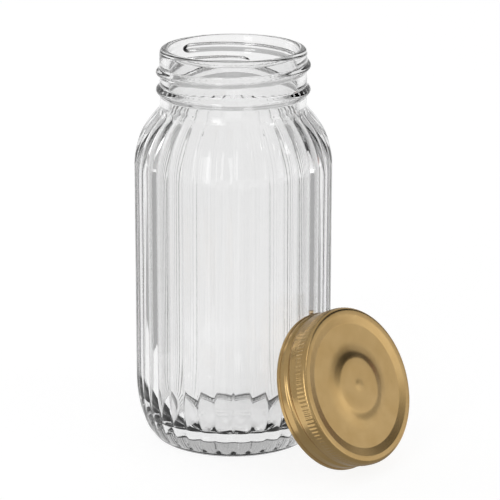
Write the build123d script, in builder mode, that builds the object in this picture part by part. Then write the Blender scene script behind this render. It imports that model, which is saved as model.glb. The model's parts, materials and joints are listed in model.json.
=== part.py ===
"""Ribbed glass preserving jar with its one-piece screw lid leaning against it.

Millimetres, +Z up. The origin is on the jar's axis, in the plane that the jar stands on.
The jar's front is towards -Y. The lid stands on its hem in front and to the right of the
jar and leans back against the wall. Each physical piece is one solid in its own STEP file.
"""

from build123d import *

import os
from math import acos, cos, degrees, pi, radians, sin, sqrt

# ---------------------------------------------------------------- jar, overall
JAR_HEIGHT = 182.3
BODY_RADIUS = 45.0  # to the crests of the ribs
NECK_RADIUS = 33.2
MOUTH_RADIUS = NECK_RADIUS - 3.95

# ---------------------------------------------------------------- jar, ribs
RIB_COUNT = 36
RIB_DEPTH = 0.9
RIB_PITCH = 360.0 / RIB_COUNT

# ---------------------------------------------------------------- jar, shoulder
SHOULDER_ARC = 36.0
SHOULDER_BASE = JAR_HEIGHT - 54.0  # where the straight wall ends
SHOULDER_STEPS = (0, 8, 16, 24, 32, 40)  # degrees along the arc, from the wall up
NECK_FLARE = 8.0  # hollow fillet between neck and shoulder
FLARE_PROUD = 0.15  # how far that fillet stands above the valleys where it meets them
RIB_TOP_DROPS = (4.0, 2.6, 1.6)  # heights below the fillet's top at which the ribs' ends are set
RIB_TOP_STAND = 0.45  # how far a rib's end stands above the fillet

# ---------------------------------------------------------------- jar, heel and base
HEEL_INSET = 11.0  # how far the heel curves in
HEEL_HEIGHT = 29.5
HEEL_STEPS = (-78, -68, -57, -46, -35, -23, -11, 0)  # degrees along the heel's ellipse
BEARING_OUTER = BODY_RADIUS - 9.8
BASE_PLATE_RADIUS = BODY_RADIUS - 6.6
BASE_PLATE_HEIGHT = 3.4
PUSH_UP = 3.0  # hollow under the base
PUSH_UP_RADIUS = BEARING_OUTER - 3.2  # and the inner edge of the bearing ring

# ---------------------------------------------------------------- jar, inside
WALL = 3.1
CAVITY_FLOOR = 8.6  # thickness of the glass base at its middle
CAVITY_FLOOR_EDGE = 7.4
FLOOR_RADIUS = BODY_RADIUS - 18.0
INNER_HEEL_TOP = HEEL_HEIGHT + 1.5
INNER_SHOULDER_ARC = 32.6
INNER_SHOULDER_BASE = SHOULDER_BASE - 1.3
THROAT_ROUND = 3.1  # how far the throat curves in to the mouth
THROAT_RISE = 7.4

# ---------------------------------------------------------------- jar, screw finish
RIM_ROUND_OUT = 2.2
RIM_ROUND_IN = 1.5
THREAD_RADIUS = NECK_RADIUS + 1.7
THREAD_LEAD = 6.35
THREAD_HALF_HEIGHT = 2.0
THREAD_TOP_DEPTH = 5.3  # below the rim
THREAD_TOP_ANGLE = 137.6
THREAD_SWEEP = 422.6
THREAD_FADE = 26.0  # degrees over which each end of the ridge fades out
THREAD_STEP = 5.0  # degrees between sections
THREAD_RUN = 12  # steps in one run
FADE_FLOOR = 0.03  # size of a ridge's very end, as a share of its full height
FADE_WIDTH = 0.35  # and of its full width
ROOT_BITE = 0.5  # how far a ridge's root is buried in its wall
BEAD_DEPTH = 18.9
BEAD_HALF_HEIGHT = 2.3

# ---------------------------------------------------------------- lid
SHEET = 0.3
LID_HEIGHT = 16.5
SKIRT_RADIUS = THREAD_RADIUS + 0.5
HEM_RADIUS = SKIRT_RADIUS + 0.4
HEM_WIDTH = 0.8
HEM_HEIGHT = 1.7
HEM_CORNER = 0.36
LID_CORNER = 1.6
LAND_RADIUS = SKIRT_RADIUS - 3.5  # inner edge of the raised outer land
PANEL_RADIUS = SKIRT_RADIUS - 7.3
PANEL_DROP = 0.85
BUTTON_FOOT = 20.3
BUTTON_MID = 16.0
BUTTON_RADIUS = 12.6
BUTTON_RISE = 1.1
BUTTON_MID_RISE = 0.35
BUTTON_STEEPNESS = 0.45
NUB_RADIUS = 3.6
NUB_RISE = 0.3
KNURL_COUNT = 124
KNURL_RADIUS = SKIRT_RADIUS + 0.32
KNURL_ROOT = SKIRT_RADIUS + 0.1
KNURL_HEIGHT = 3.9
LID_THREAD_RADIUS = SKIRT_RADIUS - 1.4  # inside crest of the rolled thread
LID_THREAD_HALF_HEIGHT = 1.6
LID_GROOVE_HALF_HEIGHT = 1.4
LID_THREAD_TOP = 9.3  # height of the upper end above the hem
LID_THREAD_TOP_ANGLE = 356.0
LID_THREAD_SWEEP = 340.0

# ---------------------------------------------------------------- sealing ring
SEAL_GAP = 0.2
SEAL_INNER = MOUTH_RADIUS - 0.35
SEAL_OUTER = SKIRT_RADIUS - 1.1
SEAL_CHAMFER = 0.6
SEAL_BOTTOM = LID_HEIGHT - 1.6  # height above the hem

# ---------------------------------------------------------------- how the lid leans
LEAN = 22.9  # the lid's axis rises this far above level
TURN = -39.7  # and points this way round the jar
REST_ANGLE = -42.0  # where the hem's top comes nearest the wall, round the jar
REST_GAP = 0.07

JAR_FRAME = Plane.XY
LID_AXIS = Vector(
    cos(radians(LEAN)) * cos(radians(TURN)),
    cos(radians(LEAN)) * sin(radians(TURN)),
    sin(radians(LEAN)),
)
HEM_TOP_BACK = HEM_RADIUS * sin(radians(LEAN))  # from above the hem's centre to its top, level
HEM_CENTRE = (
    (BODY_RADIUS + REST_GAP) * cos(radians(REST_ANGLE)) + HEM_TOP_BACK * cos(radians(TURN)),
    (BODY_RADIUS + REST_GAP) * sin(radians(REST_ANGLE)) + HEM_TOP_BACK * sin(radians(TURN)),
)
HEM_CENTRE_HEIGHT = (  # puts the rounded hem's lowest point on the floor
    (HEM_RADIUS - HEM_CORNER) * cos(radians(LEAN)) + HEM_CORNER * (1 - sin(radians(LEAN)))
)
LID_FRAME = Plane(
    origin=(HEM_CENTRE[0], HEM_CENTRE[1], HEM_CENTRE_HEIGHT),
    x_dir=(-sin(radians(TURN)), cos(radians(TURN)), 0),
    z_dir=LID_AXIS,
)


def radial_plane(frame, angle):
    """A plane through the frame's axis: x runs outwards at the angle, y along the axis."""
    outwards = frame.x_dir * cos(radians(angle)) + frame.y_dir * sin(radians(angle))
    return Plane(origin=frame.origin, x_dir=outwards, z_dir=outwards.cross(frame.z_dir))


def axis_of(frame):
    """The frame's own axis of revolution."""
    return Axis(frame.origin, frame.z_dir)


def on_circle(radius, angle):
    """A point at a radius and an angle in degrees."""
    return (radius * cos(radians(angle)), radius * sin(radians(angle)))


def ribbed_section(height, crest):
    """The ribbed wall's section at a height: one outward arc for each rib."""
    valley = crest - RIB_DEPTH
    with BuildSketch(JAR_FRAME.offset(height)) as section:
        with BuildLine():
            for i in range(RIB_COUNT):
                ThreePointArc(
                    on_circle(valley, i * RIB_PITCH),
                    on_circle(crest, (i + 0.5) * RIB_PITCH),
                    on_circle(valley, (i + 1) * RIB_PITCH),
                )
        make_face()
    return section.sketch


def bump_section(plane, foot, tip, height, half_height):
    """One section of a ridge: an arc from the wall out to its tip and back."""
    with BuildSketch(plane) as section:
        with BuildLine():
            ThreePointArc((foot, height - half_height), (tip, height), (foot, height + half_height))
            Line((foot, height + half_height), (foot, height - half_height))
        make_face()
    return section.sketch


def helix_runs(frame, foot, crest, half_height, top, top_angle, sweep):
    """Sections of a falling right-hand ridge that fades out at both ends, in short runs.

    Each run is a list of sections for one loft, and starts where the run before it ends.
    """
    count = round(sweep / THREAD_STEP / THREAD_RUN) * THREAD_RUN
    sections = []
    for i in range(count + 1):
        turned = sweep * i / count
        size = sin(min(1.0, min(turned, sweep - turned) / THREAD_FADE) * pi / 2)
        sections.append(
            bump_section(
                radial_plane(frame, top_angle - turned),
                foot,
                foot + (crest - foot) * max(size, FADE_FLOOR),
                top - THREAD_LEAD * turned / 360.0,
                half_height * (FADE_WIDTH + (1 - FADE_WIDTH) * size),
            )
        )
    return [sections[i : i + THREAD_RUN + 1] for i in range(0, count, THREAD_RUN)]


def shoulder_point(angle):
    """Radius and height of a point on the shoulder's arc."""
    centre = BODY_RADIUS - SHOULDER_ARC
    return (
        centre + SHOULDER_ARC * cos(radians(angle)),
        SHOULDER_BASE + SHOULDER_ARC * sin(radians(angle)),
    )


def heel_point(angle):
    """Radius and height of a point on the heel's ellipse."""
    return (
        BODY_RADIUS - HEEL_INSET + HEEL_INSET * cos(radians(angle)),
        HEEL_HEIGHT + HEEL_HEIGHT * sin(radians(angle)),
    )


def neck_foot():
    """Height of the top of the neck's flare, and the angle that the flare turns through."""
    centre = BODY_RADIUS - SHOULDER_ARC
    level = NECK_RADIUS + NECK_FLARE - centre
    reach = SHOULDER_ARC - RIB_DEPTH + FLARE_PROUD + NECK_FLARE
    return SHOULDER_BASE + sqrt(reach**2 - level**2), degrees(acos(level / reach))


def rib_end_point(drop):
    """Radius and height of a rib's crest near its end, at a drop below the flare's top."""
    flare = NECK_RADIUS + NECK_FLARE - sqrt(NECK_FLARE**2 - drop**2)
    return (flare + RIB_TOP_STAND, neck_foot()[0] - drop)


def neck_profile():
    """Half section of the smooth neck, from its flare on the shoulder to the round rim."""
    foot, turn = neck_foot()
    flare_radius = NECK_RADIUS + NECK_FLARE * (1 - cos(radians(turn)))
    rim_foot = JAR_HEIGHT - RIM_ROUND_OUT
    with BuildSketch(radial_plane(JAR_FRAME, 0)) as profile:
        with BuildLine():
            Polyline(
                (0, JAR_HEIGHT),
                (0, SHOULDER_BASE),
                (flare_radius, SHOULDER_BASE),
                (flare_radius, foot - NECK_FLARE * sin(radians(turn))),
            )
            CenterArc((NECK_RADIUS + NECK_FLARE, foot), NECK_FLARE, 180, turn)
            Line((NECK_RADIUS, foot), (NECK_RADIUS, rim_foot))
            CenterArc((NECK_RADIUS - RIM_ROUND_OUT, rim_foot), RIM_ROUND_OUT, 0, 90)
            Line((NECK_RADIUS - RIM_ROUND_OUT, JAR_HEIGHT), (0, JAR_HEIGHT))
        make_face()
    return profile.sketch


def base_profile():
    """Half section of the smooth base plate, with its rounded bottom edge."""
    with BuildSketch(radial_plane(JAR_FRAME, 0)) as profile:
        with BuildLine():
            Line((0, 0), (BEARING_OUTER, 0))
            Spline(
                (BEARING_OUTER, 0),
                (BASE_PLATE_RADIUS, BASE_PLATE_HEIGHT),
                tangents=[(1, 0), (0, 1)],
            )
            Polyline(
                (BASE_PLATE_RADIUS, BASE_PLATE_HEIGHT),
                (BASE_PLATE_RADIUS, CAVITY_FLOOR),
                (0, CAVITY_FLOOR),
                (0, 0),
            )
        make_face()
    return profile.sketch


def bead_profile():
    """Section of the level ring under the thread."""
    return bump_section(
        radial_plane(JAR_FRAME, 0),
        NECK_RADIUS - ROOT_BITE,
        THREAD_RADIUS,
        JAR_HEIGHT - BEAD_DEPTH,
        BEAD_HALF_HEIGHT,
    )


def cavity_profile():
    """Half section of the hollow inside, from the floor to the mouth."""
    inner = BODY_RADIUS - WALL
    arc_centre = inner - INNER_SHOULDER_ARC
    throat = MOUTH_RADIUS + THROAT_ROUND
    throat_angle = degrees(acos((throat - arc_centre) / INNER_SHOULDER_ARC))
    arc_top = INNER_SHOULDER_BASE + INNER_SHOULDER_ARC * sin(radians(throat_angle))
    rim_foot = JAR_HEIGHT - RIM_ROUND_IN
    over_rim = JAR_HEIGHT + RIM_ROUND_IN
    with BuildSketch(radial_plane(JAR_FRAME, 0)) as profile:
        with BuildLine():
            Line((0, over_rim), (0, CAVITY_FLOOR))
            Spline(
                (0, CAVITY_FLOOR),
                (FLOOR_RADIUS, CAVITY_FLOOR_EDGE),
                tangents=[(1, 0), (1, 0)],
            )
            Spline(
                (FLOOR_RADIUS, CAVITY_FLOOR_EDGE),
                (inner, INNER_HEEL_TOP),
                tangents=[(1, 0), (0, 1)],
            )
            Line((inner, INNER_HEEL_TOP), (inner, INNER_SHOULDER_BASE))
            CenterArc(
                (arc_centre, INNER_SHOULDER_BASE),
                INNER_SHOULDER_ARC,
                0,
                throat_angle,
            )
            Spline(
                (throat, arc_top),
                (MOUTH_RADIUS, arc_top + THROAT_RISE),
                tangents=[(-sin(radians(throat_angle)), cos(radians(throat_angle))), (0, 1)],
            )
            Line((MOUTH_RADIUS, arc_top + THROAT_RISE), (MOUTH_RADIUS, rim_foot))
            CenterArc((MOUTH_RADIUS + RIM_ROUND_IN, rim_foot), RIM_ROUND_IN, 90, 90)
            Polyline(
                (MOUTH_RADIUS + RIM_ROUND_IN, JAR_HEIGHT),
                (MOUTH_RADIUS + RIM_ROUND_IN, over_rim),
                (0, over_rim),
            )
        make_face()
    return profile.sketch


def push_up_profile():
    """Half section of the shallow hollow under the base, inside the bearing ring."""
    with BuildSketch(radial_plane(JAR_FRAME, 0)) as profile:
        with BuildLine():
            Line((0, 0), (0, PUSH_UP))
            Spline((0, PUSH_UP), (PUSH_UP_RADIUS, 0), tangents=[(1, 0), (1, -0.5)])
            Line((PUSH_UP_RADIUS, 0), (0, 0))
        make_face()
    return profile.sketch


heel_points = [heel_point(angle) for angle in HEEL_STEPS]
shoulder_points = [shoulder_point(angle) for angle in SHOULDER_STEPS]
rib_end_points = shoulder_points[-1:] + [rib_end_point(drop) for drop in RIB_TOP_DROPS]

with BuildPart() as glass_jar:
    loft([ribbed_section(height, crest) for crest, height in heel_points])
    extrude(
        ribbed_section(HEEL_HEIGHT, BODY_RADIUS),
        amount=SHOULDER_BASE - HEEL_HEIGHT,
        dir=JAR_FRAME.z_dir,
    )
    loft([ribbed_section(height, crest) for crest, height in shoulder_points])
    loft([ribbed_section(height, crest) for crest, height in rib_end_points], ruled=True)
    revolve(neck_profile(), axis=axis_of(JAR_FRAME))
    revolve(base_profile(), axis=axis_of(JAR_FRAME))
    revolve(bead_profile(), axis=axis_of(JAR_FRAME))
    for run in helix_runs(
        JAR_FRAME,
        NECK_RADIUS - ROOT_BITE,
        THREAD_RADIUS,
        THREAD_HALF_HEIGHT,
        JAR_HEIGHT - THREAD_TOP_DEPTH,
        THREAD_TOP_ANGLE,
        THREAD_SWEEP,
    ):
        loft(run, ruled=True)
    revolve(cavity_profile(), axis=axis_of(JAR_FRAME), mode=Mode.SUBTRACT)
    revolve(push_up_profile(), axis=axis_of(JAR_FRAME), mode=Mode.SUBTRACT)


def cap_profile(inset):
    """Half section under the cap's outer surface, or under its inner one a sheet's inset down."""
    top = LID_HEIGHT - inset
    panel = top - PANEL_DROP
    plateau = panel + BUTTON_RISE
    skirt = SKIRT_RADIUS - inset
    corner = LID_CORNER - inset
    with BuildSketch(radial_plane(LID_FRAME, 0)) as profile:
        with BuildLine():
            Spline((0, plateau + NUB_RISE), (NUB_RADIUS, plateau), tangents=[(1, 0), (1, 0)])
            Line((NUB_RADIUS, plateau), (BUTTON_RADIUS, plateau))
            Spline(
                (BUTTON_RADIUS, plateau),
                (BUTTON_MID, panel + BUTTON_MID_RISE),
                (BUTTON_FOOT, panel),
                tangents=[(1, -BUTTON_STEEPNESS), (1, 0)],
            )
            Polyline(
                (BUTTON_FOOT, panel),
                (PANEL_RADIUS, panel),
                (LAND_RADIUS, top),
                (skirt - corner, top),
            )
            CenterArc((skirt - corner, top - corner), corner, 0, 90)
            Polyline(
                (skirt, top - corner),
                (skirt, HEM_HEIGHT / 2 - inset),
                (0, HEM_HEIGHT / 2 - inset),
                (0, plateau + NUB_RISE),
            )
        make_face()
    return profile.sketch


def hem_profile():
    """Section of the rolled edge that the lid stands on."""
    with BuildSketch(radial_plane(LID_FRAME, 0)) as profile:
        with Locations((HEM_RADIUS - HEM_WIDTH / 2, HEM_HEIGHT / 2)):
            RectangleRounded(HEM_WIDTH, HEM_HEIGHT, HEM_CORNER)
    return profile.sketch


def knurl_section():
    """The finger grip's section: a disc with fine teeth round its edge."""
    half_tooth = 180.0 / KNURL_COUNT
    teeth = []
    for i in range(KNURL_COUNT):
        teeth.append(on_circle(KNURL_RADIUS, 2 * i * half_tooth))
        teeth.append(on_circle(KNURL_ROOT, (2 * i + 1) * half_tooth))
    with BuildSketch(LID_FRAME.offset(LID_HEIGHT - LID_CORNER - KNURL_HEIGHT)) as section:
        Polygon(*teeth, align=None)
    return section.sketch


def seal_profile():
    """Section of the flat ring under the outer land, following the step to the panel."""
    land = LID_HEIGHT - SHEET - SEAL_GAP
    slope = PANEL_DROP / (LAND_RADIUS - PANEL_RADIUS)
    with BuildSketch(radial_plane(LID_FRAME, 0)) as profile:
        with BuildLine():
            Polyline(
                (SEAL_INNER, SEAL_BOTTOM),
                (SEAL_OUTER, SEAL_BOTTOM),
                (SEAL_OUTER, land - SEAL_CHAMFER),
                (SEAL_OUTER - SEAL_CHAMFER, land),
                (LAND_RADIUS, land),
                (SEAL_INNER, land - slope * (LAND_RADIUS - SEAL_INNER)),
                close=True,
            )
        make_face()
    return profile.sketch


with BuildPart() as lid_hollow:
    revolve(cap_profile(SHEET), axis=axis_of(LID_FRAME))
    for run in helix_runs(
        LID_FRAME,
        SKIRT_RADIUS - SHEET + ROOT_BITE,
        LID_THREAD_RADIUS,
        LID_THREAD_HALF_HEIGHT,
        LID_THREAD_TOP,
        LID_THREAD_TOP_ANGLE,
        LID_THREAD_SWEEP,
    ):
        loft(run, ruled=True, mode=Mode.SUBTRACT)

with BuildPart() as screw_lid:
    revolve(cap_profile(0), axis=axis_of(LID_FRAME))
    extrude(knurl_section(), amount=KNURL_HEIGHT, dir=LID_FRAME.z_dir)
    for run in helix_runs(
        LID_FRAME,
        SKIRT_RADIUS + ROOT_BITE,
        LID_THREAD_RADIUS + SHEET,
        LID_GROOVE_HALF_HEIGHT,
        LID_THREAD_TOP,
        LID_THREAD_TOP_ANGLE,
        LID_THREAD_SWEEP,
    ):
        loft(run, ruled=True, mode=Mode.SUBTRACT)
    add(lid_hollow.part, mode=Mode.SUBTRACT)
    revolve(hem_profile(), axis=axis_of(LID_FRAME))

with BuildPart() as seal_ring:
    revolve(seal_profile(), axis=axis_of(LID_FRAME))

glass_jar.part.label = "glass_jar"
screw_lid.part.label = "screw_lid"
seal_ring.part.label = "seal_ring"

os.makedirs("parts", exist_ok=True)
export_step(glass_jar.part, "parts/glass_jar.step")
export_step(screw_lid.part, "parts/screw_lid.step")
export_step(seal_ring.part, "parts/seal_ring.step")
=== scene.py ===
"""Ribbed glass preserving jar and its gold screw lid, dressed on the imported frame.

Sizes in the classes are millimetres in the piece's own turning frame: r out from its axis,
z along it. Every mesh ends in metres, in the row frame, with its object at the origin.
"""

import json
import logging
import math
from dataclasses import dataclass, field
from enum import Enum
from typing import Any, Callable

import bpy
from mathutils import Matrix, Vector


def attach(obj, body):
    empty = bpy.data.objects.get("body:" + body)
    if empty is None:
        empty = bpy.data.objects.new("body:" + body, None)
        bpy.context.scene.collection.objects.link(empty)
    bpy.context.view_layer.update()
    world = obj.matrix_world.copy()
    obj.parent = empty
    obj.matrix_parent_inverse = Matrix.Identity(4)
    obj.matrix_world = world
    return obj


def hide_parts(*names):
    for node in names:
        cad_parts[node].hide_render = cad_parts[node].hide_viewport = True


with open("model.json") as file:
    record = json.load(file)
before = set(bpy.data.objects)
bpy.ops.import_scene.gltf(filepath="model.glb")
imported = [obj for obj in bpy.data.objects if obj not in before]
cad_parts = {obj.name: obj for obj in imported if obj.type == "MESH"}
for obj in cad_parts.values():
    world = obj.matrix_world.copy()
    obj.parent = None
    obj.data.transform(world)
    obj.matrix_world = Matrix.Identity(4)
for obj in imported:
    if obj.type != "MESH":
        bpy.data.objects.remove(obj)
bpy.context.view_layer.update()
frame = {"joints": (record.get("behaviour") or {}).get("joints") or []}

MM = 0.001
NEAR = 0.05  # mm within which a point counts as lying on a face
LOG = logging.getLogger("jar")

Outline = list[tuple[float, float]]
Place = tuple[float, float, float]


class Slot(Enum):
    """The record's material slots."""

    GLASS = "clear_glass"
    LACQUER = "gold_lacquered_steel"
    COMPOUND = "sealing_compound"


class Body(Enum):
    """The bodies that the pieces ride on."""

    JAR = "jar"
    GASKET = "gasket"
    LID = "lid"


# ------------------------------------------------------------------ outlines


def arc(centre: tuple[float, float], radius: float, start: float, end: float, steps: int) -> Outline:
    """Points along a circular arc.

    Args:
        centre: Middle of the arc, (r, z).
        radius: Its radius.
        start: First angle, in degrees from outwards towards up.
        end: Last angle.
        steps: How many pieces it is cut into.

    Returns:
        steps + 1 points, both ends among them.
    """
    turns = [math.radians(start + (end - start) * i / steps) for i in range(steps + 1)]
    return [(centre[0] + radius * math.cos(t), centre[1] + radius * math.sin(t)) for t in turns]


def sweep(
    start: tuple[float, float],
    end: tuple[float, float],
    leaving: tuple[float, float],
    arriving: tuple[float, float],
    steps: int,
) -> Outline:
    """Points along a smooth curve with a given direction at each end.

    Args:
        start: First point, (r, z).
        end: Last point.
        leaving: Direction at the first point.
        arriving: Direction at the last point.
        steps: How many pieces it is cut into.

    Returns:
        steps + 1 points, both ends among them.
    """
    chord = math.dist(start, end)
    pull = [chord / math.hypot(*d) for d in (leaving, arriving)]
    points = []
    for i in range(steps + 1):
        t = i / steps
        a, b = 2 * t**3 - 3 * t**2 + 1, t**3 - 2 * t**2 + t
        c, d = -2 * t**3 + 3 * t**2, t**3 - t**2
        points.append(
            tuple(
                a * start[k] + b * leaving[k] * pull[0] + c * end[k] + d * arriving[k] * pull[1]
                for k in (0, 1)
            )
        )
    return points


def line(start: tuple[float, float], end: tuple[float, float], steps: int) -> Outline:
    """Evenly spaced points along a straight run.

    Args:
        start: First point, (r, z).
        end: Last point.
        steps: How many pieces it is cut into.

    Returns:
        steps + 1 points, both ends among them.
    """
    return [
        (start[0] + (end[0] - start[0]) * i / steps, start[1] + (end[1] - start[1]) * i / steps)
        for i in range(steps + 1)
    ]


def eased(corners: list[tuple[float, float, float]], steps: int = 3) -> Outline:
    """A run of straight lines with its corners rounded off.

    Args:
        corners: (r, z, radius) of each corner; a radius of 0 keeps it sharp.
        steps: How many pieces each rounded corner is cut into.

    Returns:
        The points of the run.
    """
    points: Outline = []
    for i, (r, z, radius) in enumerate(corners):
        here = Vector((r, z))
        if radius <= 0 or i in (0, len(corners) - 1):
            points.append((r, z))
            continue
        back = (Vector(corners[i - 1][:2]) - here).normalized()
        ahead = (Vector(corners[i + 1][:2]) - here).normalized()
        half = back.angle(ahead) / 2
        cut = radius / math.tan(half)
        middle = here + (back + ahead).normalized() * (radius / math.sin(half))
        first, last = here + back * cut - middle, here + ahead * cut - middle
        turn = math.atan2(first.x * last.y - first.y * last.x, first.dot(last))
        for k in range(steps + 1):
            c, s = math.cos(turn * k / steps), math.sin(turn * k / steps)
            points.append(
                (middle.x + first.x * c - first.y * s, middle.y + first.x * s + first.y * c)
            )
    return points


def joined(*runs: Outline) -> Outline:
    """Puts runs of points one after another, without the points that repeat where two meet.

    Args:
        runs: The runs, in order.

    Returns:
        One run.
    """
    points: Outline = []
    for point in (p for run in runs for p in run):
        if not points or math.dist(point, points[-1]) > 1e-4:
            points.append(point)
    return points


# ------------------------------------------------------------------ modelling


def turned(name: str, outline: Outline, steps: int, closed: bool = False) -> bpy.types.Object:
    """Turns an outline round the z axis, point by point and then in one spin.

    Args:
        name: The piece's name.
        outline: Its half section, from the axis out and back to the axis, or a ring's section.
        steps: How many columns the spin makes.
        closed: Whether the outline is a ring's section that ends where it began.

    Returns:
        The piece, in metres, with its axis on the z axis.
    """
    bpy.ops.object.select_all(action="DESELECT")
    bpy.ops.mesh.primitive_plane_add(size=MM, location=(0, 0, 0))
    piece = bpy.context.active_object
    piece.name = piece.data.name = name
    bpy.ops.object.mode_set(mode="EDIT")
    bpy.ops.mesh.select_all(action="SELECT")
    bpy.ops.mesh.merge(type="CENTER")
    bpy.ops.transform.translate(value=(outline[0][0] * MM, 0, outline[0][1] * MM))
    runs = outline + outline[:1] if closed else outline
    for (r0, z0), (r1, z1) in zip(runs, runs[1:]):
        bpy.ops.mesh.extrude_vertices_move(
            TRANSFORM_OT_translate={"value": ((r1 - r0) * MM, 0, (z1 - z0) * MM)}
        )
    bpy.ops.mesh.select_all(action="SELECT")
    bpy.ops.mesh.spin(steps=steps, angle=2 * math.pi, center=(0, 0, 0), axis=(0, 0, 1))
    bpy.ops.mesh.select_all(action="SELECT")
    bpy.ops.mesh.remove_doubles(threshold=0.0015 * MM)
    bpy.ops.mesh.normals_make_consistent(inside=False)
    bpy.ops.object.mode_set(mode="OBJECT")
    return piece


def pressed(
    piece: bpy.types.Object,
    name: str,
    height: float,
    share: Callable[[float, float, float, Vector], float],
) -> None:
    """Raises or sinks part of a turned piece's surface along its own normals.

    Args:
        piece: The turned piece, still on the z axis.
        name: What the relief is.
        height: Its full height in millimetres, below zero where it is sunk.
        share: From a point's r, z, angle in degrees and normal, its share of the height.
    """
    group = piece.vertex_groups.new(name=name)
    for vertex in piece.data.vertices:
        x, y, z = (c / MM for c in vertex.co)
        weight = share(math.hypot(x, y), z, math.degrees(math.atan2(y, x)), vertex.normal)
        if weight > 1e-5:
            group.add([vertex.index], min(weight, 1.0), "REPLACE")
    relief = piece.modifiers.new(name, "DISPLACE")
    relief.vertex_group, relief.mid_level, relief.strength = name, 0.0, height * MM
    bpy.context.view_layer.objects.active = piece
    bpy.ops.object.modifier_apply(modifier=relief.name)
    piece.vertex_groups.clear()


def smoothed(piece: bpy.types.Object, angle: float = 40.0) -> None:
    """Shades a piece smooth.

    Args:
        piece: The piece.
        angle: Edges sharper than this stay crisp, in degrees.
    """
    bpy.ops.object.select_all(action="DESELECT")
    piece.select_set(True)
    bpy.context.view_layer.objects.active = piece
    bpy.ops.object.shade_smooth_by_angle(angle=math.radians(angle))


def seated(piece: bpy.types.Object, place: Matrix) -> None:
    """Puts a piece in its place, in its mesh, and leaves its object at the origin.

    Args:
        piece: The piece, modelled round the z axis.
        place: Where its own frame stands.
    """
    bpy.ops.object.select_all(action="DESELECT")
    piece.matrix_world = place
    piece.select_set(True)
    bpy.context.view_layer.objects.active = piece
    bpy.ops.object.transform_apply(location=True, rotation=True, scale=True)


@dataclass(frozen=True)
class Helix:
    """A falling right-hand ridge that ends in two rounded tips.

    Heights are in the piece's own frame, angles in degrees.
    """

    top: float
    top_angle: float
    turns: float
    half_height: float
    lead: float = 6.35
    tip: float = 8.0
    fullness: float = 0.62

    def share(self, z: float, angle: float) -> float:
        """How much of the ridge's full height stands at a point of its wall.

        Args:
            z: The point's height.
            angle: Its angle round the axis, in degrees.

        Returns:
            A share from 0 to 1.
        """
        best = 0.0
        turned_by = (self.top_angle - angle) % 360.0
        while turned_by <= self.turns:
            end = min(1.0, min(turned_by, self.turns - turned_by) / self.tip)
            size = math.sin(end * math.pi / 2)
            across = (z - self.top + self.lead * turned_by / 360.0) / (
                self.half_height * (0.35 + 0.65 * size)
            )
            if abs(across) < 1:
                best = max(best, size * ridge(across, self.fullness))
            turned_by += 360.0
        return best


def faces_in(angle: float, normal: Vector) -> bool:
    """Whether a face at an angle round the axis, in degrees, looks in towards the axis."""
    turn = math.radians(angle)
    return normal.x * math.cos(turn) + normal.y * math.sin(turn) < 0


def ridge(across: float, fullness: float) -> float:
    """Height of a rounded ridge with soft feet, from -1 to 1 across it."""
    return (0.5 + 0.5 * math.cos(math.pi * across)) ** fullness if abs(across) < 1 else 0.0


# ------------------------------------------------------------------ materials


def linear(code: str) -> tuple[float, float, float, float]:
    """An sRGB hex colour as linear red, green, blue and an alpha of 1."""
    parts = [int(code[i : i + 2], 16) / 255 for i in (1, 3, 5)]
    return (*(c / 12.92 if c <= 0.04045 else ((c + 0.055) / 1.055) ** 2.4 for c in parts), 1.0)


def add_node(
    tree: bpy.types.NodeTree, kind: str, settings: dict[str, Any] | None = None, **sockets: Any
) -> bpy.types.Node:
    """Adds one node.

    Args:
        tree: The tree it goes into.
        kind: Its type's name.
        settings: Its own settings; a list of (place, colour) under "stops" fills a ramp.
        sockets: Inputs by name, with _ for a space, or by number as in0, in1; a (node, output)
            pair links, and any other value is set.

    Returns:
        The node.
    """
    node = tree.nodes.new(kind)
    for key, value in (settings or {}).items():
        if key == "stops":
            ramp = node.color_ramp.elements
            for i, (place, colour) in enumerate(value):
                stop = ramp[i] if i < 2 else ramp.new(place)
                stop.position, stop.color = place, colour
        else:
            setattr(node, key, value)
    for key, value in sockets.items():
        name = key.replace("_", " ")
        by_number = key.startswith("in") and key[2:].isdigit()
        spot = node.inputs[int(key[2:]) if by_number else name]
        if isinstance(value, tuple) and value and isinstance(value[0], bpy.types.Node):
            tree.links.new(value[0].outputs[value[1]], spot)
        else:
            spot.default_value = value
    return node


def blank(name: str) -> tuple[bpy.types.Material, bpy.types.NodeTree, bpy.types.Node]:
    """Makes a new material with an empty tree.

    Args:
        name: The material's name.

    Returns:
        The material, its tree, and a Texture Coordinate node in it.
    """
    material = bpy.data.materials.new(name)
    material.use_nodes = True
    tree = material.node_tree
    tree.nodes.clear()
    return material, tree, add_node(tree, "ShaderNodeTexCoord")


def pitch(millimetres: float) -> float:
    """The scale at which a noise texture's features are that many millimetres apart."""
    return 1.0 / (millimetres * MM)


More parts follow.
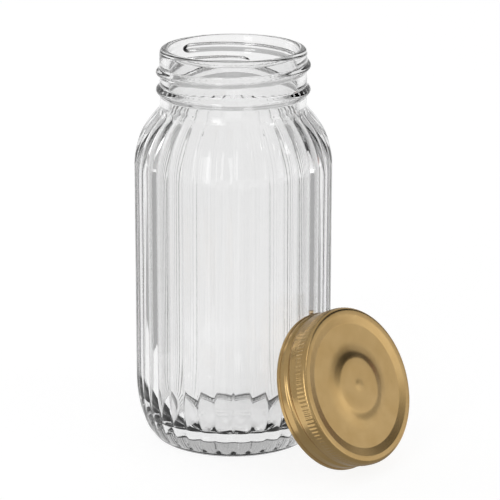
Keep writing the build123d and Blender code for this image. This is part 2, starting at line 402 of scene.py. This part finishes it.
@dataclass(frozen=True)
class SodaLimeGlass:
    """Pressed and blown soda-lime container glass, clear.

    Gives bright rims, dark lines where a rib or ridge bends the view away, and the slight
    unevenness of a blown wall.
    """

    index: float = 1.52
    tint: str = "#F7F7F7"
    waviness: float = 16.0  # mm between the slow waves of the wall
    seeds: float = 1.6  # mm, fine unevenness from the mould
    density: float = 2.5  # per metre of glass that the view passes through

    def make(self) -> bpy.types.Material:
        """Makes the material.

        Returns:
            The material.
        """
        material, tree, at = blank("soda_lime_glass_clear")
        waves = add_node(
            tree, "ShaderNodeTexNoise", Vector=(at, "Object"), Scale=pitch(self.waviness), Detail=1.0
        )
        fine = add_node(
            tree, "ShaderNodeTexNoise", Vector=(at, "Object"), Scale=pitch(self.seeds), Detail=2.0
        )
        slow = add_node(
            tree, "ShaderNodeBump", Height=(waves, "Fac"), Strength=0.12, Distance=0.5 * MM
        )
        bump = add_node(
            tree,
            "ShaderNodeBump",
            Height=(fine, "Fac"),
            Normal=(slow, "Normal"),
            Strength=0.05,
            Distance=0.05 * MM,
        )
        glass = add_node(
            tree,
            "ShaderNodeBsdfPrincipled",
            Base_Color=linear(self.tint),
            Roughness=0.0,
            IOR=self.index,
            Transmission_Weight=1.0,
            Normal=(bump, "Normal"),
        )
        body = add_node(
            tree, "ShaderNodeVolumeAbsorption", Color=linear("#000000"), Density=self.density
        )
        add_node(
            tree, "ShaderNodeOutputMaterial", Surface=(glass, "BSDF"), Volume=(body, "Volume")
        )
        return material


@dataclass(frozen=True)
class GoldLacqueredTinplate:
    """Drawn tinplate under a baked gold lacquer, satin.

    Gives a soft metal reflection, warm and saturated in its shadows, with a fine grain.
    """

    name: str = "gold_lacquered_tinplate"
    colour: str = "#CAAA74"
    deeper: str = "#C4A36C"
    roughness: float = 0.25
    grain: float = 0.35  # mm between the lacquer's fine ripples, coarse enough to show
    cloud: float = 9.0  # mm between slightly thicker and thinner places in the lacquer

    def make(self) -> bpy.types.Material:
        """Makes the material.

        Returns:
            The material.
        """
        material, tree, at = blank(self.name)
        clouds = add_node(
            tree, "ShaderNodeTexNoise", Vector=(at, "Object"), Scale=pitch(self.cloud), Detail=3.0
        )
        grain = add_node(
            tree, "ShaderNodeTexNoise", Vector=(at, "Object"), Scale=pitch(self.grain), Detail=2.0
        )
        tint = add_node(
            tree,
            "ShaderNodeValToRGB",
            {"stops": [(0.35, linear(self.deeper)), (0.65, linear(self.colour))]},
            Fac=(clouds, "Fac"),
        )
        satin = add_node(
            tree,
            "ShaderNodeMapRange",
            Value=(grain, "Fac"),
            To_Min=self.roughness - 0.015,
            To_Max=self.roughness + 0.015,
        )
        bump = add_node(
            tree, "ShaderNodeBump", Height=(grain, "Fac"), Strength=0.03, Distance=0.02 * MM
        )
        metal = add_node(
            tree,
            "ShaderNodeBsdfPrincipled",
            Base_Color=(tint, "Color"),
            Metallic=1.0,
            Roughness=(satin, "Result"),
            Coat_Weight=0.12,
            Coat_Roughness=0.25,
            Normal=(bump, "Normal"),
        )
        add_node(tree, "ShaderNodeOutputMaterial", Surface=(metal, "BSDF"))
        return material


@dataclass(frozen=True)
class SealingCompound:
    """Plastisol sealing compound, cast and cured in the lid.

    Gives a pale, dull, slightly rubbery ring with a few fine pits.
    """

    colour: str = "#D9D5C8"
    shade: str = "#C9C4B4"
    pits: float = 0.6  # mm

    def make(self) -> bpy.types.Material:
        """Makes the material.

        Returns:
            The material.
        """
        material, tree, at = blank("plastisol_sealing_compound")
        noise = add_node(
            tree, "ShaderNodeTexNoise", Vector=(at, "Object"), Scale=pitch(self.pits), Detail=3.0
        )
        tint = add_node(
            tree,
            "ShaderNodeValToRGB",
            {"stops": [(0.3, linear(self.shade)), (0.7, linear(self.colour))]},
            Fac=(noise, "Fac"),
        )
        bump = add_node(
            tree, "ShaderNodeBump", Height=(noise, "Fac"), Strength=0.15, Distance=0.05 * MM
        )
        rubber = add_node(
            tree,
            "ShaderNodeBsdfPrincipled",
            Base_Color=(tint, "Color"),
            Roughness=0.55,
            Subsurface_Weight=0.1,
            Subsurface_Scale=0.5 * MM,
            Normal=(bump, "Normal"),
        )
        add_node(tree, "ShaderNodeOutputMaterial", Surface=(rubber, "BSDF"))
        return material


@dataclass(frozen=True)
class PaleFloor:
    """A plain pale studio table, lit from within so that it stays even.

    Gives an almost white ground with only a faint shadow.
    """

    colour: str = "#7C7C7C"
    glow: float = 0.87

    def make(self) -> bpy.types.Material:
        """Makes the material.

        Returns:
            The material.
        """
        material, tree, _ = blank("pale_table_floor")
        table = add_node(
            tree,
            "ShaderNodeBsdfPrincipled",
            Base_Color=linear(self.colour),
            Roughness=0.9,
            Emission_Color=linear("#FFFFFF"),
            Emission_Strength=self.glow,
        )
        add_node(tree, "ShaderNodeOutputMaterial", Surface=(table, "BSDF"))
        return material


@dataclass(frozen=True)
class PaintedShadeCard:
    """A grey card laid on the floor beside a bright object, which glows at a fixed level instead of
    being lit: painted light.

    Gives the glass soft grey lines down its sides and the metal a deeper tone below, painted shade in
    their reflections.
    """

    level: float  # its painted brightness, a fixed glow from 0 to 1

    def make(self) -> bpy.types.Material:
        """Makes the material.

        Returns:
            The material.
        """
        material, tree, _ = blank("grey_studio_card")
        # Painted shade: the card's tone is a fixed emission, not light falling on it.
        card = add_node(
            tree,
            "ShaderNodeEmission",
            Color=(self.level, self.level, self.level, 1.0),
            Strength=1.0,
        )
        add_node(tree, "ShaderNodeOutputMaterial", Surface=(card, "Emission"))
        return material


# ------------------------------------------------------------------ the jar


@dataclass
class GlassJar:
    """The ribbed jar: one continuous skin of glass, outside, rim and inside."""

    height: float = 182.3
    body_radius: float = 44.985
    neck_radius: float = 33.2
    mouth_radius: float = 29.25
    ribs: int = 36
    rib_depth: float = 0.9
    shoulder_arc: float = 36.0
    shoulder_drop: float = 54.0
    shoulder_turn: float = 38.0  # degrees of the shoulder's arc below the flare
    flare: float = 8.0
    flare_proud: float = 0.15
    rib_end_drop: float = 1.3
    rib_end_stand: float = 0.32
    rib_end_fade: float = 1.4
    heel_inset: float = 11.0
    heel_height: float = 29.5
    heel_turn: float = 70.0  # degrees of the heel's ellipse above the plate
    bearing_outer: float = 35.2
    bearing_inner: float = 32.0
    bearing_rise: float = 1.0  # height below which there are no ribs
    plate_radius: float = 38.4
    plate_height: float = 3.4
    heel_foot: float = 1.7  # height at which the heel leaves the plate's edge
    push_up: float = 3.0
    wall: float = 3.1
    floor_middle: float = 8.6
    floor_edge: float = 7.4
    floor_radius: float = 27.0
    inner_arc: float = 32.6
    inner_shoulder_drop: float = 1.3  # how far the inner shoulder starts below the outer one
    inner_heel_rise: float = 1.5  # and the inner heel ends above the outer one
    throat: float = 3.1
    throat_rise: float = 7.4
    rim_outer: float = 2.2
    rim_inner: float = 1.5
    ridge_height: float = 1.7
    bead_drop: float = 18.9
    bead_half: float = 2.5
    bead_fullness: float = 0.62
    neck_margin: float = 1.0  # how far below the neck's foot its relief may reach
    columns: int = 360
    thread: Helix = field(
        default_factory=lambda: Helix(top=177.0, top_angle=137.6, turns=422.6, half_height=2.15)
    )

    @property
    def shoulder_base(self) -> float:
        """Height at which the straight wall ends."""
        return self.height - self.shoulder_drop

    @property
    def flare_top(self) -> tuple[float, float]:
        """Height of the top of the neck's hollow flare, and the angle that it turns through."""
        level = self.neck_radius + self.flare - self.body_radius + self.shoulder_arc
        reach = self.shoulder_arc - self.rib_depth + self.flare_proud + self.flare
        rise = math.sqrt(reach**2 - level**2)
        return self.shoulder_base + rise, math.degrees(math.acos(level / reach))

    def flare_radius(self, z: float) -> float:
        """Radius of the neck's flare at a height."""
        drop = min(max(self.flare_top[0] - z, 0.0), self.flare * 0.99)
        return self.neck_radius + self.flare - math.sqrt(self.flare**2 - drop**2)

    def crest(self, z: float) -> float:
        """Radius of the ribs' crests on the shoulder.

        Args:
            z: A height from the shoulder's foot up.

        Returns:
            The radius there.
        """
        rise = min(z - self.shoulder_base, self.shoulder_arc * 0.99)
        bow = self.body_radius - self.shoulder_arc + math.sqrt(self.shoulder_arc**2 - rise**2)
        top = self.flare_top[0] - self.rib_end_drop
        fade = min(1.0, max(0.0, (top - z) / self.rib_end_fade))
        return max(bow, self.flare_radius(z) + self.rib_end_stand * fade)

    def plate_edge(self) -> Outline:
        """The base plate's rounded edge, from the table up to where it stands upright."""
        return sweep(
            (self.bearing_outer, 0), (self.plate_radius, self.plate_height), (1, 0), (0, 1), 12
        )

    def smooth_core(self, z: float) -> float:
        """Radius of the smooth plate or flare that the ribs run out into.

        Args:
            z: A height.

        Returns:
            The radius there, or 0 where the ribs go right down.
        """
        if z < self.plate_height:
            below = self.plate_edge()
            for (r0, z0), (r1, z1) in zip(below, below[1:]):
                if z0 <= z <= z1:
                    return r0 + (r1 - r0) * (z - z0) / (z1 - z0)
        if z < self.floor_middle:
            return self.plate_radius
        top, turn = self.flare_top
        if z > top - self.flare * math.sin(math.radians(turn)):
            return self.flare_radius(z)
        return 0.0

    def outside(self) -> Outline:
        """The outer half section, over the crests of the ribs.

        Returns:
            Points from the axis below, out and up to the top of the rim.
        """
        heel_centre = self.body_radius - self.heel_inset
        arc_centre = self.body_radius - self.shoulder_arc
        shoulder = arc((arc_centre, self.shoulder_base), self.shoulder_arc, 0, self.shoulder_turn, 17)
        plate = [p for p in self.plate_edge() if p[1] < self.heel_foot]
        heel = [
            (heel_centre + self.heel_inset * math.cos(a), self.heel_height * (1 + math.sin(a)))
            for a in (math.radians(self.heel_turn * (i / 30 - 1)) for i in range(31))
        ]
        neck_foot = self.flare_top[0]
        ends = line((0, shoulder[-1][1]), (0, neck_foot), 24)
        rim_foot = self.height - self.rim_outer
        return joined(
            sweep((0, self.push_up), (self.bearing_inner, 0), (1, 0), (1, -0.5), 10),
            line((self.bearing_inner, 0), (self.bearing_outer, 0), 2),
            plate,
            heel,
            line((self.body_radius, self.heel_height), (self.body_radius, self.shoulder_base), 8),
            shoulder,
            [(self.crest(z), z) for _, z in ends[1:]],
            line((self.neck_radius, neck_foot), (self.neck_radius, rim_foot), 56),
            arc((self.neck_radius - self.rim_outer, rim_foot), self.rim_outer, 0, 90, 7),
        )

    def inside(self) -> Outline:
        """The inner half section.

        Returns:
            Points from the top of the rim down to the middle of the floor.
        """
        inner = self.body_radius - self.wall
        base = self.shoulder_base - self.inner_shoulder_drop
        arc_centre = inner - self.inner_arc
        throat = self.mouth_radius + self.throat
        turn = math.acos((throat - arc_centre) / self.inner_arc)
        arc_top = base + self.inner_arc * math.sin(turn)
        rim_foot = self.height - self.rim_inner
        heel_top = self.heel_height + self.inner_heel_rise
        return joined(
            arc((self.mouth_radius + self.rim_inner, rim_foot), self.rim_inner, 90, 180, 5),
            line((self.mouth_radius, rim_foot), (self.mouth_radius, arc_top + self.throat_rise), 4),
            sweep(
                (self.mouth_radius, arc_top + self.throat_rise),
                (throat, arc_top),
                (0, -1),
                (math.sin(turn), -math.cos(turn)),
                12,
            ),
            arc((arc_centre, base), self.inner_arc, math.degrees(turn), 0, 14),
            line((inner, base), (inner, heel_top), 6),
            sweep((inner, heel_top), (self.floor_radius, self.floor_edge), (0, -1), (-1, 0), 20),
            sweep((self.floor_radius, self.floor_edge), (0, self.floor_middle), (-1, 0), (-1, 0), 8),
        )

    def rib_share(self, r: float, z: float, angle: float, normal: Vector) -> float:
        """How far a point of the outer wall sinks towards the valley between two ribs.

        Args:
            r: The point's distance from the axis.
            z: Its height.
            angle: Its angle round the axis, in degrees.
            normal: The surface's direction there.

        Returns:
            A share of the relief's full height, from 0 to 1.
        """
        if faces_in(angle, normal):
            return 0.0
        if not self.bearing_rise < z < self.flare_top[0] or r < self.neck_radius:
            return 0.0
        if z < self.heel_height and r < self.bearing_outer:
            return 0.0
        step = 360.0 / self.ribs
        across = (angle % step) / step * 2 - 1
        sunk = min(self.rib_depth * across**2, r - self.smooth_core(z))
        level = math.hypot(normal.x, normal.y)
        return max(sunk, 0.0) * level / self.rib_depth

    def neck_share(self, r: float, z: float, angle: float, normal: Vector) -> float:
        """How far the screw thread and the ring under it stand out at a point of the neck.

        Args:
            r: The point's distance from the axis.
            z: Its height.
            angle: Its angle round the axis, in degrees.
            normal: The surface's direction there; not used.

        Returns:
            A share of the relief's full height, from 0 to 1.
        """
        if abs(r - self.neck_radius) > NEAR or z < self.flare_top[0] - self.neck_margin:
            return 0.0
        bead = ridge((z - self.height + self.bead_drop) / self.bead_half, self.bead_fullness)
        return max(bead, self.thread.share(z, angle))

    def build(self) -> bpy.types.Object:
        """Models and dresses the jar.

        Returns:
            The jar's object.
        """
        jar = turned("jar_glass", joined(self.outside(), self.inside()), self.columns)
        pressed(jar, "ribs", -self.rib_depth, self.rib_share)
        pressed(jar, "thread", self.ridge_height, self.neck_share)
        smoothed(jar, 60.0)
        jar.data.materials.append(SodaLimeGlass().make())
        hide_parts("glass_jar")
        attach(jar, Body.JAR.value)
        return jar


# ------------------------------------------------------------------ the lid


def lid_place() -> Matrix:
    """Finds where the lid's own frame stands, from the joint that the lid turns on.

    Returns:
        That frame: z along the lid's axis out of its panel, origin in the plane of the hem.
    """
    turn = next(j for j in frame["joints"] if j["child"] == Body.LID.value)
    axis = Vector(turn["axis"]).normalized()
    side = Vector((-axis.y, axis.x, 0)).normalized()
    place = Matrix((side, axis.cross(side), axis)).transposed().to_4x4()
    place.translation = Vector(turn["pos_m"])
    return place


@dataclass
class ScrewLid:
    """The one-piece lid: a drawn sheet with a pressed panel, knurled grip, thread and hem."""

    sheet: float = 0.3
    height: float = 16.5
    hem_radius: float = 35.79
    hem_width: float = 0.8
    hem_height: float = 1.7
    hem_corner: float = 0.36
    hem_edge: float = 0.06
    skirt_radius: float = 35.4
    corner: float = 1.6
    land_radius: float = 31.9
    panel_radius: float = 28.1
    panel_drop: float = 0.85
    button_foot: float = 20.3
    button_mid: float = 16.0
    button_radius: float = 12.6
    button_rise: float = 1.1
    button_mid_rise: float = 0.35
    button_ease: float = 0.6  # how far inside its edge the button starts to fall
    button_slope: float = 0.12
    panel_bend: float = 1.2
    nub_radius: float = 3.6
    nub_rise: float = 0.3
    knurls: int = 124
    knurl_stand: float = 0.3
    knurl_height: float = 3.9
    knurl_over: float = 0.3  # how far the teeth run up into the corner
    knurl_foot_fade: float = 0.5
    knurl_top_fade: float = 0.6
    groove_depth: float = 1.0
    columns: int = 620
    thread: Helix = field(
        default_factory=lambda: Helix(
            top=9.3, top_angle=356.0, turns=340.0, half_height=1.75, tip=26.0, fullness=0.7
        )
    )

    def pressing(self, inset: float) -> Outline:
        """Half section of the sheet's face from the axis out to the skirt, a depth under it.

        Args:
            inset: How far under the outer face, in millimetres.

        Returns:
            Points from the middle outwards, ending on the skirt under its corner.
        """
        top = self.height - inset
        panel = top - self.panel_drop
        plateau = panel + self.button_rise
        skirt, corner = self.skirt_radius - inset, self.corner - inset
        edge = (self.button_radius - self.button_ease, plateau)
        middle = (self.button_mid, panel + self.button_mid_rise)
        falling = (1, -self.button_slope)
        return joined(
            sweep((0, plateau + self.nub_rise), (self.nub_radius, plateau), (1, 0), (1, 0), 6),
            line((self.nub_radius, plateau), edge, 3),
            sweep(edge, middle, falling, falling, 6),
            sweep(middle, (self.button_foot, panel), falling, (1, 0), 5),
            eased(
                [
                    (self.button_foot, panel, 0),
                    (self.panel_radius, panel, self.panel_bend),
                    (self.land_radius, top, self.panel_bend),
                    (skirt - corner, top, 0),
                ],
                3,
            ),
            arc((skirt - corner, top - corner), corner, 90, 0, 5),
        )

    def outline(self) -> Outline:
        """The whole half section.

        Returns:
            Points over the outer face, round the hem, and along the inner face to the axis.
        """
        outer = self.pressing(0)
        inner = self.pressing(self.sheet)
        under = self.skirt_radius - self.sheet
        hem_in = self.hem_radius - self.hem_width
        grip_top = self.height - self.corner
        grip_foot = grip_top - self.knurl_height
        skirt = joined(
            line((self.skirt_radius, grip_top), (self.skirt_radius, grip_foot), 8),
            line((self.skirt_radius, grip_foot), (self.skirt_radius, self.hem_height + NEAR), 26),
        )
        hem = eased(
            [
                (self.skirt_radius, self.hem_height, 0),
                (self.hem_radius, self.hem_height, self.hem_corner),
                (self.hem_radius, 0, self.hem_corner),
                (hem_in, 0, self.hem_edge),
                (under, self.hem_height / 2, 0),
            ],
            4,
        )
        up = line((under, self.hem_height / 2), (under, inner[-1][1]), 30)
        return joined(outer, skirt, hem, up, inner[::-1])

    def on_skirt(self, r: float) -> bool:
        """Whether a radius is that of the skirt's outer or inner face."""
        return min(abs(r - self.skirt_radius), abs(r - self.skirt_radius + self.sheet)) < NEAR

    def grip_share(self, r: float, z: float, angle: float, normal: Vector) -> float:
        """How far a tooth of the knurled grip stands out at a point of the skirt.

        Args:
            r: The point's distance from the axis.
            z: Its height.
            angle: Its angle round the axis, in degrees.
            normal: The surface's direction there; not used.

        Returns:
            A share of the relief's full height, from 0 to 1.
        """
        top = self.height - self.corner
        foot = top - self.knurl_height
        end = top + self.knurl_over
        if r < self.skirt_radius - NEAR or not foot <= z <= end:
            return 0.0
        ends = min(1.0, (z - foot) / self.knurl_foot_fade, (end - z) / self.knurl_top_fade)
        return max(0.0, ends) * (0.5 + 0.5 * math.cos(math.radians(angle) * self.knurls))

    def groove_share(self, r: float, z: float, angle: float, normal: Vector) -> float:
        """How far the rolled thread is pressed in at a point of the skirt.

        Args:
            r: The point's distance from the axis.
            z: Its height.
            angle: Its angle round the axis, in degrees.
            normal: The surface's direction there.

        Returns:
            A share of the relief's full height, from 0 to 1.
        """
        if not self.on_skirt(r) or faces_in(angle, normal):
            return 0.0
        return self.thread.share(z, angle)

    def ridge_share(self, r: float, z: float, angle: float, normal: Vector) -> float:
        """How far the rolled thread stands out on the skirt's inner face.

        Args:
            r: The point's distance from the axis.
            z: Its height.
            angle: Its angle round the axis, in degrees.
            normal: The surface's direction there.

        Returns:
            A share of the relief's full height, from 0 to 1.
        """
        if not self.on_skirt(r) or not faces_in(angle, normal):
            return 0.0
        return self.thread.share(z, angle)

    def build(self, place: Matrix) -> bpy.types.Object:
        """Models and dresses the lid.

        Args:
            place: The lid's own frame.

        Returns:
            The lid's object.
        """
        lid = turned("lid_shell", self.outline(), self.columns)
        pressed(lid, "grip", self.knurl_stand, self.grip_share)
        pressed(lid, "groove", -self.groove_depth, self.groove_share)
        pressed(lid, "inner_ridge", self.groove_depth, self.ridge_share)
        smoothed(lid, 60.0)
        seated(lid, place)
        lid.data.materials.append(GoldLacqueredTinplate().make())
        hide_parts("screw_lid")
        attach(lid, Body.LID.value)
        return lid


@dataclass
class SealRing:
    """The flat ring of compound under the lid's outer land."""

    inner: float = 28.9
    outer: float = 34.3
    bottom: float = 14.9
    land: float = 16.0
    step_radius: float = 31.9
    slope: float = 0.85 / 3.8  # the panel's drop over the width of its slope
    chamfer: float = 0.6
    columns: int = 240

    def section(self) -> Outline:
        """The ring's section, its corners slightly rounded.

        Returns:
            Points round the section, the first not repeated at the end.
        """
        inner_top = self.land - self.slope * (self.step_radius - self.inner)
        round_trip = [
            (self.inner, self.bottom, 0.12),
            (self.outer, self.bottom, 0.15),
            (self.outer, self.land - self.chamfer, 0.2),
            (self.outer - self.chamfer, self.land, 0.2),
            (self.step_radius, self.land, 0.5),
            (self.inner, inner_top, 0.12),
        ]
        middle = ((self.inner + self.outer) / 2, self.bottom, 0.0)
        return eased([middle, *round_trip[1:], round_trip[0], middle], 3)[:-1]

    def build(self, place: Matrix) -> bpy.types.Object:
        """Models and dresses the ring.

        Args:
            place: The lid's own frame, which the ring shares.

        Returns:
            The ring's object.
        """
        ring = turned("seal_ring_compound", self.section(), self.columns, closed=True)
        smoothed(ring, 50.0)
        seated(ring, place)
        ring.data.materials.append(SealingCompound().make())
        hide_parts("seal_ring")
        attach(ring, Body.GASKET.value)
        return ring


# ------------------------------------------------------------------ the studio


@dataclass(frozen=True)
class Softbox:
    """One soft rectangular light that faces the object."""

    name: str
    at: Place  # metres
    size: tuple[float, float]  # width and height, metres
    power: float  # watts
    colour: str = "#FFFFFF"

    def hang(self, target: Vector) -> None:
        """Hangs the light.

        Args:
            target: The point that it faces.
        """
        bpy.ops.object.light_add(type="AREA", location=self.at)
        lamp = bpy.context.active_object
        lamp.name = self.name
        lamp.data.shape = "RECTANGLE"
        lamp.data.size, lamp.data.size_y = self.size
        lamp.data.energy = self.power
        lamp.data.color = linear(self.colour)[:3]
        lamp.rotation_euler = (target - Vector(self.at)).to_track_quat("-Z", "Y").to_euler()


@dataclass(frozen=True)
class FloorCard:
    """One glowing grey card on the floor that casts no shadow, seen only in and through the glass and
    the metal: painted shade in them.
    """

    name: str
    near: Outline  # its left and right corners on the camera's side, metres
    far: Outline  # and on the far side
    level: float  # its painted brightness, from 0 to 1
    lift: float = 0.0002  # metres above the floor

    def lay(self) -> None:
        """Lays the card."""
        bpy.ops.mesh.primitive_plane_add(size=1.0)
        card = bpy.context.active_object
        card.name = self.name
        for vertex, (x, y) in zip(card.data.vertices, self.near + self.far):
            vertex.co = (x, y, self.lift)
        card.data.materials.append(PaintedShadeCard(self.level).make())
        card.visible_camera = card.visible_diffuse = card.visible_shadow = False


CARDS = (
    # The side cards paint the darker floor away from the light, which gives the glass its grey side
    # lines.
    FloorCard("grey_card_left", [(-1.6, -0.9), (-0.15, -0.9)], [(-1.6, 1.2), (-0.17, 0.12)], 0.42),
    FloorCard("grey_card_right", [(0.15, -0.9), (1.6, -0.9)], [(0.17, 0.12), (1.6, 1.2)], 0.42),
    # The front card paints the shadow that the lid casts on the floor beneath it, seen in the lid's
    # skirt.
    FloorCard("grey_card_front", [(-0.1, -0.6), (0.2, -0.6)], [(0.005, -0.062), (0.16, -0.015)], 0.36),
)
SOFTBOXES = (
    Softbox("key_softbox_right", (1.26, -0.03, 0.24), (1.1, 0.48), 1.3),
    Softbox("window_right", (0.95, -0.35, 0.80), (0.20, 0.20), 0.5),
    Softbox("softbox_left", (-1.0, 0.70, 0.50), (0.6, 0.5), 1.0),
    Softbox("warm_lamp_back", (1.08, 0.65, 0.16), (0.14, 0.12), 0.015, "#E05A1E"),
    Softbox("strip_front_left", (-0.55, -1.10, 0.50), (0.35, 0.90), 2.2),
)


@dataclass
class Studio:
    """Floor, room, lights and camera round the object."""

    target: Place = (0.0, 0.0, 0.092)
    distance: float = 1.1
    elevation: float = 16.25
    lens: float = 172.7
    sensor: float = 36.0
    shift: tuple[float, float] = (0.0334, -0.0185)
    clipping: tuple[float, float] = (0.01, 50.0)
    floor_radius: float = 4.0
    floor_height: float = -0.0004
    room_level: float = 0.55
    shade_level: float = 0.0
    shade_towards: Place = (0.87, 0.30, 0.40)
    shade_edges: tuple[float, float] = (0.82, 0.955)  # cosines at which the shade starts and is full

    def floor(self) -> None:
        """Lays the floor."""
        bpy.ops.object.select_all(action="DESELECT")
        bpy.ops.mesh.primitive_circle_add(
            vertices=96, radius=self.floor_radius, fill_type="NGON", location=(0, 0, self.floor_height)
        )
        floor = bpy.context.active_object
        floor.name = "studio_floor"
        bpy.ops.object.transform_apply(location=True, rotation=True, scale=True)
        floor.data.materials.append(PaleFloor().make())

    def surroundings(self) -> None:
        """A pale even room with one darker corner, which gives the metal its deep tones."""
        world = bpy.data.worlds.new("studio_room")
        bpy.context.scene.world = world
        world.use_nodes = True
        tree = world.node_tree
        tree.nodes.clear()
        at = add_node(tree, "ShaderNodeTexCoord")
        towards = add_node(
            tree,
            "ShaderNodeVectorMath",
            {"operation": "DOT_PRODUCT"},
            in0=(at, "Generated"),
            in1=Vector(self.shade_towards).normalized(),
        )
        level = add_node(
            tree,
            "ShaderNodeMapRange",
            Value=(towards, "Value"),
            From_Min=self.shade_edges[0],
            From_Max=self.shade_edges[1],
            To_Min=self.room_level,
            To_Max=self.shade_level,
        )
        sky = add_node(
            tree, "ShaderNodeBackground", Color=linear("#FFFFFF"), Strength=(level, "Result")
        )
        add_node(tree, "ShaderNodeOutputWorld", Surface=(sky, "Background"))

    def camera(self) -> None:
        """Sets up the camera."""
        tilt = math.radians(self.elevation)
        at = Vector(self.target) + self.distance * Vector((0, -math.cos(tilt), math.sin(tilt)))
        bpy.ops.object.camera_add(location=at, rotation=(math.pi / 2 - tilt, 0, 0))
        camera = bpy.context.active_object
        camera.name = "studio_camera"
        camera.data.lens = self.lens
        camera.data.sensor_width = self.sensor
        camera.data.shift_x, camera.data.shift_y = self.shift
        camera.data.clip_start, camera.data.clip_end = self.clipping
        bpy.context.scene.camera = camera

    def build(self) -> None:
        """Sets the whole studio up."""
        self.camera()
        self.floor()
        self.surroundings()
        for card in CARDS:
            card.lay()
        for softbox in SOFTBOXES:
            softbox.hang(Vector(self.target))
        bpy.context.scene.view_settings.view_transform = "Standard"


def main() -> None:
    """Builds the studio and the three pieces, and reports each one."""
    logging.basicConfig(level=logging.INFO, format="%(name)s: %(message)s")
    Studio().build()
    place = lid_place()
    pieces = [GlassJar().build(), ScrewLid().build(place), SealRing().build(place)]
    for piece in pieces:
        LOG.info("%s: %d faces", piece.name, len(piece.data.polygons))


if __name__ == "__main__":
    main()
